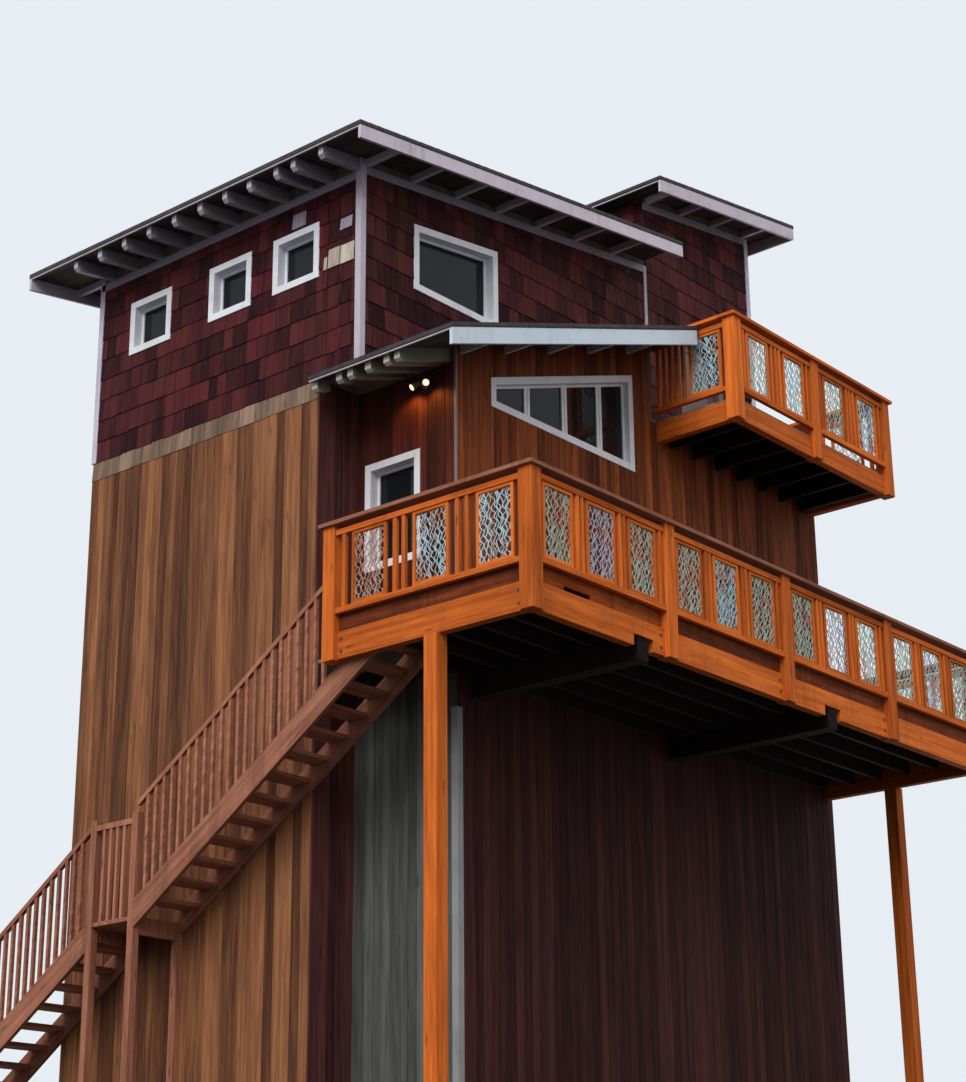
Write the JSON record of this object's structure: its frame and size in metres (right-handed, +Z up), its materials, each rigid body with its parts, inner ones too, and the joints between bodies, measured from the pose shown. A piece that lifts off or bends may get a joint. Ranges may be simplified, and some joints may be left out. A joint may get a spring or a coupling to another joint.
{
  "type": "tree house",
  "caption": "Tall timber tree house with shed roofs, boarded and shingled walls, a wrap-round deck on posts with lattice guards, an outside stair and a small balcony.",
  "frame": {"origin": "on the lowest ground, under the middle of the house's overall box", "axes": "+X along the long side away from the deck's outer corner, +Y from the long side towards the back wall, +Z up"},
  "size_m": [9.22, 9.65, 12.9579],
  "materials": {
    "deck_cedar": "oiled cedar",
    "weathered_cedar": "weathered cedar",
    "dark_timber": "stained, in shade",
    "board_siding": "upright boards, stained and weathered",
    "shingles": "stained cedar shingles",
    "pale_trim": "painted, flat",
    "roofing": "mineral felt over boards",
    "window_paint": "painted, satin",
    "glazing": "clear",
    "verdigris_panel": "pale patina",
    "door_paint": "painted, satin",
    "lamp_metal": "satin",
    "floor_boards": "bare boards"
  },
  "bodies": {
    "root": {"stair_wall": "board_siding", "return_wall": "board_siding", "porch_wall": "board_siding", "long_wall": "board_siding", "lower_far_wall": "board_siding", "lower_back_wall": "board_siding", "gallery_end_wall": "board_siding", "main_floor": "floor_boards", "upper_floor": "floor_boards", "tower_side_wall": "shingles", "tower_front_wall": "shingles", "block_front_wall": "shingles", "upper_far_wall": "shingles", "clerestory_wall": "shingles", "upper_back_wall": "shingles", "corner_boards": "pale_trim", "main_window_frames": "window_paint", "main_window_glass": "glazing", "upper_window_frames": "window_paint", "upper_window_glass": "glazing", "deck_door": "door_paint", "balcony_door": "door_paint", "main_roof": "roofing", "main_roof_rafters": "pale_trim", "main_roof_trim": "pale_trim", "lower_roof": "roofing", "lower_roof_rafters": "pale_trim", "lower_roof_trim": "pale_trim", "rear_roof": "roofing", "rear_roof_trim": "pale_trim", "deck_rim_left": "deck_cedar", "deck_rim_right": "deck_cedar", "deck_rim_end": "deck_cedar", "deck_girders": "dark_timber", "deck_joists": "dark_timber", "deck_guard_posts": "deck_cedar", "deck_floor": "weathered_cedar", "deck_skirts": "dark_timber", "support_posts": "deck_cedar", "deck_rails": "deck_cedar", "deck_balusters": "deck_cedar", "deck_panels_left": "verdigris_panel", "deck_panels_right": "verdigris_panel", "deck_panels_end": "verdigris_panel", "deck_cap_rail": "weathered_cedar", "balcony_rim": "deck_cedar", "balcony_joists": "dark_timber", "balcony_guard_posts": "deck_cedar", "balcony_floor": "weathered_cedar", "balcony_rails": "deck_cedar", "balcony_balusters": "deck_cedar", "balcony_panels": "verdigris_panel", "stair_treads": "weathered_cedar", "stair_stringers": "deck_cedar", "stair_landing": "deck_cedar", "stair_guard": "deck_cedar", "eave_lamp": "lamp_metal"}
  },
  "joints": []
}
